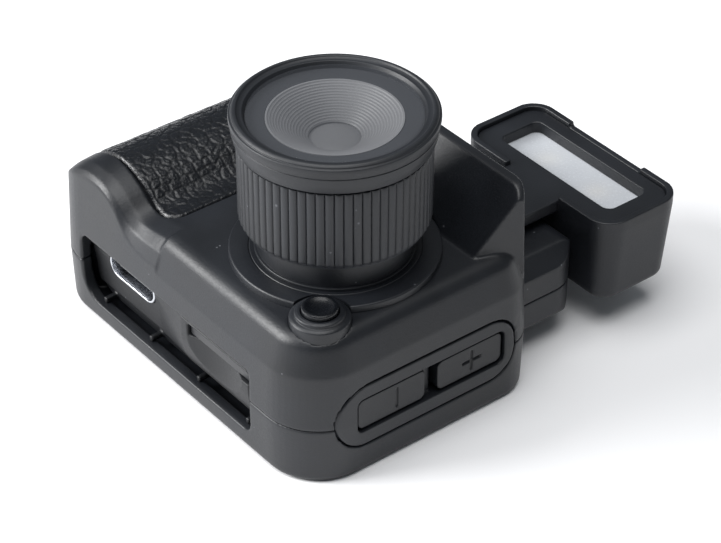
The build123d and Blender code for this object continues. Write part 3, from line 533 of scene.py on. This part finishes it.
def softened(name, node, key, cell, passes=3, keep=0.4, factor=0.5):
    """A copy of a node with its edges rounded as a moulding's are."""
    shell = bmesh.new()
    shell.from_mesh(NODES[node].data)
    bmesh.ops.remove_doubles(shell, verts=shell.verts, dist=2e-6)
    mesh = bpy.data.meshes.new(name)
    shell.to_mesh(mesh)
    shell.free()
    obj = bpy.data.objects.new(name, mesh)
    bpy.context.scene.collection.objects.link(obj)
    remesh = obj.modifiers.new("cells", "REMESH")
    remesh.mode = "VOXEL"
    remesh.voxel_size = cell
    remesh.adaptivity = 0.0
    soft = obj.modifiers.new("soft", "SMOOTH")
    soft.factor = factor
    soft.iterations = passes
    if keep < 1.0:
        thin = obj.modifiers.new("thin", "DECIMATE")
        thin.ratio = keep
    apply_modifiers(obj)
    obj.data.materials.clear()
    obj.data.materials.append(finish(key))
    obj.data.polygons.foreach_set("use_smooth", [True] * len(obj.data.polygons))
    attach(obj, body_of_node(node))
    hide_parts(node)
    return obj


def turned(name, outline, key, body, nodes=(), segments=192, centre=(0.0, 0.0), closed=True):
    """A profile of (radius, height) in millimetres turned round a vertical axis."""
    verts = []
    count = len(outline)
    for k in range(segments):
        a = 2 * pi * k / segments
        for r, z in outline:
            verts.append((centre[0] + r * MM * cos(a), centre[1] + r * MM * sin(a), z * MM))
    faces = []
    last = count if closed else count - 1
    for k in range(segments):
        n = (k + 1) % segments
        for j in range(last):
            m = (j + 1) % count
            faces.append((k * count + j, n * count + j, n * count + m, k * count + m))
    obj = piece(name, verts, faces, key, body, nodes)
    sharpen(obj)
    return obj


def sharpen(obj, angle=32.0):
    """Marks edges steeper than the angle as sharp, so flats stay flat."""
    mesh = bmesh.new()
    mesh.from_mesh(obj.data)
    bmesh.ops.recalc_face_normals(mesh, faces=mesh.faces)
    for edge in mesh.edges:
        if len(edge.link_faces) == 2 and edge.calc_face_angle(0.0) > radians(angle):
            edge.smooth = False
    mesh.to_mesh(obj.data)
    mesh.free()


def rounded_profile(corners, steps=4):
    """(radius, height, rounding) corners to a closed outline with small fillets."""
    out = []
    count = len(corners)
    for k in range(count):
        r, z, fillet = corners[k]
        here = Vector((r, z))
        if fillet <= 0:
            out.append((r, z))
            continue
        before = (Vector(corners[k - 1][:2]) - here)
        after = (Vector(corners[(k + 1) % count][:2]) - here)
        cut = min(fillet, before.length * 0.45, after.length * 0.45)
        a = here + before.normalized() * cut
        b = here + after.normalized() * cut
        for j in range(steps + 1):
            t = j / steps
            p = a * (1 - t) ** 2 + here * 2 * t * (1 - t) + b * t ** 2
            out.append((p.x, p.y))
    return out


def low(node):
    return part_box(node)[0] / MM


def high(node):
    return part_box(node)[1] / MM


# ---------------------------------------------------------------- operators
class MINICAM_OT_shells(bpy.types.Operator):
    """Moulded front and rear shells with softened edges."""

    bl_idname = "minicam.shells"
    bl_label = "Shells"

    def execute(self, context):
        s = context.scene.minicam_sizes
        softened("front_shell_skin", "front_shell", "shell", s.shell_edge, passes=3, keep=0.5)
        softened("rear_shell_skin", "rear_shell", "shell", s.shell_edge, passes=3, keep=0.35)
        return {"FINISHED"}


def wavy(U, V, seed, scale):
    """A smooth random field from a few crossing sine waves."""
    draw = np.random.default_rng(seed)
    total = np.zeros_like(U)
    for _ in range(WAVES):
        kx, ky, phase = draw.normal(0, 1, 2).tolist() + [draw.uniform(0, 6.28)]
        total += np.sin((U * kx + V * ky) / scale + phase)
    return total / WAVES


def pebbled(U, V, cell):
    """Height and crease of a cracked pebble pattern, on two scales."""
    rng = np.random.default_rng(11)
    A = (U + cell * 0.22 * wavy(U, V, 3, 0.0016)) / cell
    B = (V + cell * 0.22 * wavy(U, V, 4, 0.0014)) / (cell * 1.15)
    height = np.zeros_like(U)
    crease = np.ones_like(U)
    for layer, (grow, weight) in enumerate(((1.0, 1.0), (1.9, 0.34))):
        a, b = A * grow, B * grow
        ia, ib = np.floor(a).astype(int), np.floor(b).astype(int)
        na, nb = ia.max() + 4, ib.max() + 4
        jitter = rng.uniform(0.08, 0.92, (na + 3, nb + 3, 2))
        lift = rng.uniform(0.55, 1.0, (na + 3, nb + 3))
        f1 = np.full_like(U, 9.0)
        f2 = np.full_like(U, 9.0)
        top = np.zeros_like(U)
        for da in (-1, 0, 1):
            for db in (-1, 0, 1):
                ca, cb = ia + da, ib + db
                j = jitter[ca + 2, cb + 2]
                d = np.hypot(ca + j[..., 0] - a, cb + j[..., 1] - b)
                closer = d < f1
                f2 = np.where(closer, f1, np.minimum(f2, d))
                top = np.where(closer, lift[ca + 2, cb + 2], top)
                f1 = np.where(closer, d, f1)
        edge = np.clip((f2 - f1) / 0.3, 0, 1)
        edge = 1 - (1 - edge) ** 2.2
        height += weight * edge * top
        if layer == 0:
            crease = edge
    height = (height - height.mean()) / 1.2
    height += 0.1 * wavy(U, V, 9, 0.0004) + 0.25 * wavy(U, V, 12, 0.003)
    return height, crease


def ridge_path(lo, hi):
    """The pad's outer profile as (x, z) points, read off the CAD pad by rays toward a hub."""
    mesh = NODES["grip_pad"].data
    corners = [v.co.copy() for v in mesh.vertices]
    tree = BVHTree.FromPolygons(corners, [tuple(p.vertices) for p in mesh.polygons])
    hub = Vector((hi.x - HUB_BACK, (lo.y + hi.y) / 2, HUB_HEIGHT))
    path = []
    for a in np.linspace(radians(188), radians(18), RAYS):
        way = Vector((cos(a), 0.0, sin(a)))
        hit = tree.ray_cast(hub + way * 0.04, -way)[0]
        if hit is None:
            continue
        reach = Vector((hit.x - hub.x, 0.0, hit.z - hub.z)).dot(way)
        if reach > 0.003 and hit.x < hi.x - 0.0002:
            path.append((hit.x, hit.z))
    if len(path) < 50:
        raise RuntimeError("the grip pad's outline was not found")
    path = np.array(path)
    return np.vstack([path, [hi.x - 0.00005, path[-1][1]]])


class MINICAM_OT_grip(bpy.types.Operator):
    """Pebbled leather pad over the grip."""

    bl_idname = "minicam.grip"
    bl_label = "Leather grip"

    def execute(self, context):
        s = context.scene.minicam_sizes
        lo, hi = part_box("grip_pad")
        y0, y1 = lo.y, hi.y
        path = ridge_path(lo, hi)
        run = np.concatenate([[0.0], np.cumsum(np.hypot(*np.diff(path, axis=0).T))])
        total = run[-1]
        nu, nv = int(total / SHEET_STEP), int((y1 - y0) / SHEET_STEP)
        us = np.linspace(0, total, nu)
        px, pz = np.interp(us, run, path[:, 0]), np.interp(us, run, path[:, 1])
        for _ in range(6):
            px[1:-1] = (px[:-2] + 2 * px[1:-1] + px[2:]) / 4
            pz[1:-1] = (pz[:-2] + 2 * pz[1:-1] + pz[2:]) / 4
        tx, tz = np.gradient(px), np.gradient(pz)
        size = np.hypot(tx, tz)
        nx, nz = -tz / size, tx / size
        U, V = np.meshgrid(us, np.linspace(y0, y1, nv), indexing="ij")
        height, crease = pebbled(U, V, s.pebble)
        corner_u = np.minimum(U, total - U)
        corner_v = np.minimum(V - y0, y1 - V)
        inside = (corner_u < SHEET_CORNER) & (corner_v < SHEET_CORNER)
        round_off = SHEET_CORNER - np.hypot(SHEET_CORNER - corner_u, SHEET_CORNER - corner_v)
        border = np.where(inside, round_off, np.minimum(corner_u, corner_v))
        fade = np.clip(border / EDGE_ROLL, 0, 1)
        fade = fade * fade * (3 - 2 * fade)
        lift = s.pebble_height * height * fade - EDGE_DROP * (1 - fade) ** 2 - 0.00004
        # outside the rounded corners the sheet dives under the shell
        lift = lift - 3 * np.where(inside, np.clip(-round_off, 0, None), 0.0)
        X = px[:, None] + nx[:, None] * lift
        Z = pz[:, None] + nz[:, None] * lift
        verts = np.stack([X, V, Z], axis=-1).reshape(-1, 3)
        idx = np.arange(nu * nv).reshape(nu, nv)
        corners = [idx[:-1, :-1], idx[:-1, 1:], idx[1:, 1:], idx[1:, :-1]]
        quads = np.stack(corners, axis=-1).reshape(-1, 4)
        obj = piece("leather_pad", verts, quads.tolist(), "leather", "body", ["grip_pad"])
        layer = obj.data.attributes.new("crease", "FLOAT", "POINT")
        layer.data.foreach_set("value", crease.reshape(-1).astype(np.float32))
        thick = obj.modifiers.new("thick", "SOLIDIFY")
        thick.thickness = SHEET_THICKNESS
        outward = obj.data.polygons[0].normal.dot(Vector((nx[0], 0, nz[0]))) > 0
        thick.offset = -1.0 if outward else 1.0
        apply_modifiers(obj)
        return {"FINISHED"}


class MINICAM_OT_lens(bpy.types.Operator):
    """Flange, neck, ribbed ring, head, glass and stepped baffle."""

    bl_idname = "minicam.lens"
    bl_label = "Lens"

    def execute(self, context):
        s = context.scene.minicam_sizes
        self.flange()
        base, top = low("lens_barrel").z, high("lens_barrel").z
        ring0, ring1 = low("focus_ring").z, high("focus_ring").z
        flange = high("lens_flange").z
        turned(
            "lens_neck",
            rounded_profile([
                (BORE_R, base, 0), (NECK_R, base, 0), (NECK_R, flange + 0.02, 0),
                (8.85, flange + 0.02, 0), (8.85, flange + 0.32, 0.14), (NECK_R, flange + 0.36, 0),
                (NECK_R, ring0 - 0.3, 0.15), (TUBE_R, ring0 - 0.3, 0), (TUBE_R, top, 0.1),
                (BORE_R, top, 0.1),
            ]),
            "shell", "body", ["lens_barrel"])
        self.ribbed_ring(s, ring0, ring1)
        self.head(s)
        return {"FINISHED"}

    def flange(self):
        """The flat collar, cut back round the release button."""
        z0, z1 = low("lens_flange").z, high("lens_flange").z
        collar = turned(
            "lens_flange_skin",
            rounded_profile([
                (NECK_R, z0, 0), (FLANGE_R, z0, 0), (11.62, z1 - 0.14, 0.05), (11.5, z1, 0.08),
                (9.5, z1, 0.02), (9.44, z1 - 0.07, 0.02), (9.36, z1 - 0.07, 0.02), (9.3, z1, 0.02),
                (NECK_R, z1, 0),
            ]),
            "shell", "body", ["lens_flange"], segments=256)
        lo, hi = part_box("release_base")
        mesh = bpy.data.meshes.new("collar_cutter")
        drum = bmesh.new()
        reach = (hi.x - lo.x) / 2 + COLLAR_GAP
        bmesh.ops.create_cone(
            drum, cap_ends=True, segments=96, radius1=reach, radius2=reach, depth=0.01,
            matrix=Matrix.Translation(((lo.x + hi.x) / 2, (lo.y + hi.y) / 2, z0 * MM)))
        drum.to_mesh(mesh)
        drum.free()
        cutter = bpy.data.objects.new("collar_cutter", mesh)
        bpy.context.scene.collection.objects.link(cutter)
        cut = collar.modifiers.new("cut", "BOOLEAN")
        cut.operation = "DIFFERENCE"
        cut.object = cutter
        apply_modifiers(collar)
        bpy.data.objects.remove(cutter)
        sharpen(collar)

    def ribbed_ring(self, s, z0, z1):
        """The ring: rounded ribs that run out at a plain hem below and under the band above."""
        ribs, per = s.ribs, 12
        count = ribs * per
        angle = 2 * pi * np.arange(count) / count
        phase = (np.arange(count) % per) / per
        wave = np.abs(np.sin(pi * phase)) ** 0.42
        rows = [
            (z0, 9.35, 0.0), (z0 + 0.04, 9.9, 0.0), (z0 + 0.18, 10.12, 0.0), (z0 + 0.50, 10.2, 0.0),
            (z0 + 0.56, 10.3, 0.35), (z0 + 0.72, 10.44, 0.85), (z0 + 1.0, 10.5, 1.0),
            (z1 - 0.9, 10.5, 1.0), (z1 - 0.25, 10.5, 1.0), (z1 - 0.1, 10.44, 0.8),
            (z1, 10.2, 0.2), (z1, 8.07, 0.0), (z0, 8.07, 0.0),
        ]
        verts, faces = [], []
        for z, r, depth in rows:
            radius = r * MM - s.rib_depth * depth * (1 - wave)
            for k in range(count):
                verts.append((radius[k] * cos(angle[k]), radius[k] * sin(angle[k]), z * MM))
        n = len(rows)
        for j in range(n):
            m = (j + 1) % n
            for k in range(count):
                q = (k + 1) % count
                faces.append((j * count + k, j * count + q, m * count + q, m * count + k))
        ring = piece("ribbed_ring", verts, faces, "ring", "focus", ["focus_ring"])
        sharpen(ring, 40)

    def head(self, s):
        """The head band and rim, the glass, the mask and the stepped cone with its pupil."""
        z0, z1 = low("lens_head").z, high("lens_head").z
        mid = z0 + 2.08
        glass0, glass1 = low("front_glass").z, high("front_glass").z
        turned(
            "lens_head_band",
            rounded_profile([
                (TUBE_R, z0, 0), (10.42, z0, 0.05), (10.62, z0 + 0.12, 0.1), (10.92, z0 + 1.0, 0.5),
                (11.08, mid - 0.05, 0.05), (10.99, mid, 0.03), (11.07, mid + 0.08, 0.05),
                (HEAD_R, z1 - 0.85, 0.25), (11.22, z1 - 0.42, 0.12), (10.98, z1 - 0.36, 0.06),
                (10.96, z1 - 0.22, 0.05), (10.72, z1 - 0.02, 0.12), (10.42, z1, 0.12),
                (10.28, z1 - 0.2, 0.06), (10.02, z1 - 0.3, 0.08), (9.75, z1 - 0.32, 0.05),
                (9.52, z1 - 0.72, 0.05), (GLASS_R, glass0 - 0.1, 0), (TUBE_R, glass0 - 0.1, 0),
            ]),
            "ring", "body", ["lens_head"], segments=256)
        turned(
            "front_glass_disc",
            rounded_profile([
                (CENTRE_R, glass0, 0), (GLASS_R, glass0, 0), (GLASS_R, glass1 - 0.12, 0.1),
                (9.3, glass1, 0.1), (CENTRE_R, glass1, 0),
            ]),
            "glass", "body", ["front_glass"], segments=192, closed=False)
        lo, hi = low("mask_ring").z, high("mask_ring").z - 0.05
        turned(
            "front_mask",
            rounded_profile([(CONE_R, lo, 0), (GLASS_R, lo, 0), (GLASS_R, hi, 0), (7.42, hi, 0.05)]),
            "mask", "body", ["mask_ring"])
        c0 = low("front_element").z + 0.6
        c1 = high("baffle_cone").z
        steps = s.cone_steps
        outline = []
        for k in range(steps):
            ra = CONE_R - (CONE_R - PUPIL_R) * k / steps
            rb = CONE_R - (CONE_R - PUPIL_R) * (k + 1) / steps
            za = c1 - (c1 - c0) * k / steps
            zb = c1 - (c1 - c0) * (k + 1) / steps
            outline += [(ra, za), (rb + 0.10, za - 0.015), (rb + 0.03, zb + 0.02)]
        outline += [
            (PUPIL_R, c0), (PUPIL_R, c0 - 0.5), (6.4, c0 - 0.5), (6.4, c1 - 1.2), (CONE_R, c1 - 0.55),
        ]
        turned("stepped_baffle", outline, "cone", "body", ["baffle_cone"])
        turned(
            "pupil_lens",
            [
                (CENTRE_R, c0 + 0.12), (0.9, c0 + 0.10), (1.8, c0 + 0.02), (2.5, c0 - 0.1),
                (2.78, c0 - 0.2), (2.78, c0 - 0.6), (CENTRE_R, c0 - 0.6),
            ],
            "cone", "body", ["front_element"], closed=False)


class MINICAM_OT_release(bpy.types.Operator):
    """Dished release button in its round base."""

    bl_idname = "minicam.release"
    bl_label = "Release button"

    def execute(self, context):
        lo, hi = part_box("release_base")
        x, y = (lo.x + hi.x) / 2, (lo.y + hi.y) / 2
        z0, z1 = lo.z / MM, hi.z / MM
        turned(
            "release_base_skin",
            rounded_profile([
                (2.75, z0, 0), (3.17, z0, 0), (3.17, z0 + 0.8, 0), (3.3, z0 + 0.9, 0),
                (3.3, z1 - 0.72, 0.12), (3.02, z1 - 0.52, 0.1), (2.72, z1 - 0.45, 0.06),
                (2.7, z1 - 0.1, 0.12), (2.42, z1 - 0.02, 0.05),
                (2.4, z1, 0.1), (2.1, z1, 0.06), (2.08, z0 + 2.5, 0), (2.75, z0 + 2.5, 0),
            ]),
            "shell", "body", ["release_base"], segments=96, centre=(x, y))
        lo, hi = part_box("release_button")
        z0, z1 = lo.z / MM, hi.z / MM
        turned(
            "release_button_cap",
            [
                (CENTRE_R, z1 - 0.42), (0.5, z1 - 0.40), (0.95, z1 - 0.31), (1.3, z1 - 0.17),
                (1.52, z1 - 0.04), (1.62, z1), (1.82, z1 - 0.01), (1.93, z1 - 0.06),
                (1.99, z1 - 0.16), (2.0, z1 - 0.28), (2.0, z0 + 0.8), (2.5, z0 + 0.8),
                (2.5, z0), (CENTRE_R, z0),
            ],
            "button", "release", ["release_button"], segments=96, centre=(x, y), closed=False)
        paint("part", "release_switch")
        paint("board", "release_board")
        return {"FINISHED"}


class MINICAM_OT_keys(bpy.types.Operator):
    """Side keys in their long bezel."""

    bl_idname = "minicam.keys"
    bl_label = "Side keys"

    def execute(self, context):
        s = context.scene.minicam_sizes
        softened("key_bezel_skin", "key_bezel", "shell", s.part_edge, passes=3, keep=0.5)
        for node in ("minus_key", "plus_key"):
            softened(node + "_cap", node, "key", s.part_edge * 0.8, passes=3, keep=0.5)
        paint("board", "key_board")
        paint("part", "key_switches")
        return {"FINISHED"}


class MINICAM_OT_ports(bpy.types.Operator):
    """Port bay with its socket, card slot and card."""

    bl_idname = "minicam.ports"
    bl_label = "Port bay"

    def execute(self, context):
        s = context.scene.minicam_sizes
        softened("port_panel_skin", "port_panel", "panel", s.part_edge, passes=3, keep=0.5)
        self.socket_tube()
        paint("insert", "usb_tongue")
        paint("steel", "card_socket")
        paint("card", "memory_card")
        return {"FINISHED"}


    def socket_tube(self):
        """The plated tube of the socket: a rounded slot with a rolled front edge."""
        lo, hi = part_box("usb_shell")
        middle = (lo + hi) / 2
        wide, tall = (hi.x - lo.x) / 2, (hi.z - lo.z) / 2
        wall, roll, arc = TUBE_WALL, TUBE_ROLL, TUBE_ARC
        back = hi.y - 0.001
        rows = [
            (hi.y, 0.0), (lo.y + roll, 0.0), (lo.y + roll * 0.3, roll * 0.3), (lo.y, roll),
            (lo.y, wall - roll), (lo.y + roll * 0.3, wall - roll * 0.3), (lo.y + roll, wall),
            (back, wall), (back, tall - 0.0001), (hi.y, tall - 0.0001),
        ]
        verts, faces = [], []
        for y, inset in rows:
            r = tall - inset
            for side in (1, -1):
                for k in range(arc + 1):
                    a = pi / 2 - pi * k / arc
                    x = middle.x + side * (wide - tall + r * cos(a))
                    verts.append((x, y, middle.z + side * r * sin(a)))
        ring = 2 * (arc + 1)
        for j in range(len(rows) - 1):
            for k in range(ring):
                q = (k + 1) % ring
                faces.append((j * ring + k, j * ring + q, (j + 1) * ring + q, (j + 1) * ring + k))
        for row in (len(rows) - 1, 7):
            faces.append([row * ring + k for k in range(ring)])
        sharpen(piece("usb_shell_skin", verts, faces, "metal", "body", ["usb_shell"]), 50)


class MINICAM_OT_lamp(bpy.types.Operator):
    """Lamp head with its sliding plate and milky window."""

    bl_idname = "minicam.lamp"
    bl_label = "Lamp head"

    def execute(self, context):
        s = context.scene.minicam_sizes
        c = context.scene.minicam_colours
        softened("lamp_housing_skin", "lamp_housing", "shell", s.part_edge, passes=3, keep=0.45)
        softened("lamp_plate_skin", "lamp_plate", "shell", s.part_edge, passes=3, keep=0.5)
        lo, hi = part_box("lamp_diffuser")
        centre = ((lo.x + hi.x) / 2, (lo.y + hi.y) / 2)
        MATS["diffuser"] = diffuser_finish(
            "milky_window", tuple(c.diffuser), tuple(c.warm_spot), centre, 0.0042)
        paint("diffuser", "lamp_diffuser")
        paint("insert", "lamp_reflector", "lamp_guide")
        paint("board", "led_board", "lamp_driver")
        paint("led", "leds")
        paint("steel", "heat_block")
        return {"FINISHED"}


class MINICAM_OT_rear(bpy.types.Operator):
    """Rear window, buttons, screws and the shutter button."""

    bl_idname = "minicam.rear"
    bl_label = "Rear face"

    def execute(self, context):
        paint("screen", "screen_window")
        paint("key", "menu_button", "play_button", "power_button")
        paint("steel", "shell_screws")
        paint("metal", "shutter_button")
        paint("part", "shutter_switch", "rear_switches")
        paint("board", "shutter_board")
        return {"FINISHED"}


class MINICAM_OT_insides(bpy.types.Operator):
    """Finishes for the boards, battery and optics inside."""

    bl_idname = "minicam.insides"
    bl_label = "Insides"

    def execute(self, context):
        paint("cell", "battery")
        paint("board", "main_board", "sensor_board")
        paint("part", "image_sensor", "lcd_module", "speaker")
        paint("lens", "filter_glass", "rear_element")
        paint("mask", "lens_cell")
        return {"FINISHED"}


class MINICAM_OT_stage(bpy.types.Operator):
    """Pale table, soft lights and the viewing camera."""

    bl_idname = "minicam.stage"
    bl_label = "Stage"

    def execute(self, context):
        s = context.scene.minicam_sizes
        c = context.scene.minicam_colours
        scene = context.scene
        bpy.ops.mesh.primitive_plane_add(size=TABLE_SIZE, location=(0, 0, 0))
        floor = context.active_object
        floor.name = "table_surface"
        floor.data.materials.append(floor_finish("pale_table", tuple(c.floor)))
        world = bpy.data.worlds.new("studio")
        world.use_nodes = True
        back = world.node_tree.nodes["Background"]
        back.inputs[0].default_value = (0.88, 0.94, 1.0, 1.0)
        back.inputs[1].default_value = c.sky
        scene.world = world
        self.area("top_softbox", (0.05, -0.10, 0.75), (0.0, 0.0, 0.0), 0.70, c.top_light)
        self.area("side_softbox", (-0.24, -0.33, 0.23), AIM, 0.28, c.side_light)
        target = Vector((-4.0, 6.63, 10.0)) * MM
        a, e = s.view_azimuth, s.view_height
        away = Vector((sin(a) * cos(e), -cos(a) * cos(e), sin(e)))
        camera = bpy.data.cameras.new("view")
        camera.lens = s.view_lens
        camera.sensor_width = SENSOR_WIDTH
        camera.sensor_fit = "HORIZONTAL"
        camera.clip_start = 0.01
        camera.clip_end = 10.0
        obj = bpy.data.objects.new("view", camera)
        scene.collection.objects.link(obj)
        obj.location = target + away * s.view_distance
        spin = (-away).to_track_quat("-Z", "Y").to_matrix().to_4x4()
        obj.matrix_world = Matrix.Translation(obj.location) @ spin @ Matrix.Rotation(s.view_roll, 4, "Z")
        scene.camera = obj
        scene.view_settings.view_transform = "Standard"
        return {"FINISHED"}

    def area(self, name, place, target, size, power):
        light = bpy.data.lights.new(name, "AREA")
        light.shape = "DISK"
        light.size = size
        light.energy = power
        obj = bpy.data.objects.new(name, light)
        bpy.context.scene.collection.objects.link(obj)
        obj.location = place
        obj.rotation_euler = (Vector(target) - Vector(place)).to_track_quat("-Z", "Y").to_euler()


OPERATORS = (
    MINICAM_OT_shells, MINICAM_OT_grip, MINICAM_OT_lens, MINICAM_OT_release, MINICAM_OT_keys,
    MINICAM_OT_ports, MINICAM_OT_lamp, MINICAM_OT_rear, MINICAM_OT_insides, MINICAM_OT_stage,
)


class MINICAM_PT_panel(bpy.types.Panel):
    """Lists the pieces of the camera."""

    bl_label = "Mini Camera"
    bl_idname = "MINICAM_PT_panel"
    bl_space_type = "VIEW_3D"
    bl_region_type = "UI"
    bl_category = "Mini Camera"

    def draw(self, context):
        layout = self.layout
        for operator in OPERATORS:
            layout.operator(operator.bl_idname)
        for settings in (context.scene.minicam_sizes, context.scene.minicam_colours):
            box = layout.box()
            for name in settings.__annotations__:
                box.prop(settings, name)


CLASSES = (MINICAM_PG_sizes, MINICAM_PG_colours) + OPERATORS + (MINICAM_PT_panel,)


def register():
    for cls in CLASSES:
        bpy.utils.register_class(cls)
    bpy.types.Scene.minicam_sizes = PointerProperty(type=MINICAM_PG_sizes)
    bpy.types.Scene.minicam_colours = PointerProperty(type=MINICAM_PG_colours)


def unregister():
    del bpy.types.Scene.minicam_colours
    del bpy.types.Scene.minicam_sizes
    for cls in reversed(CLASSES):
        bpy.utils.unregister_class(cls)


def main():
    register()
    for operator in OPERATORS:
        family, name = operator.bl_idname.split(".")
        getattr(getattr(bpy.ops, family), name)()


if __name__ == "__main__":
    main()
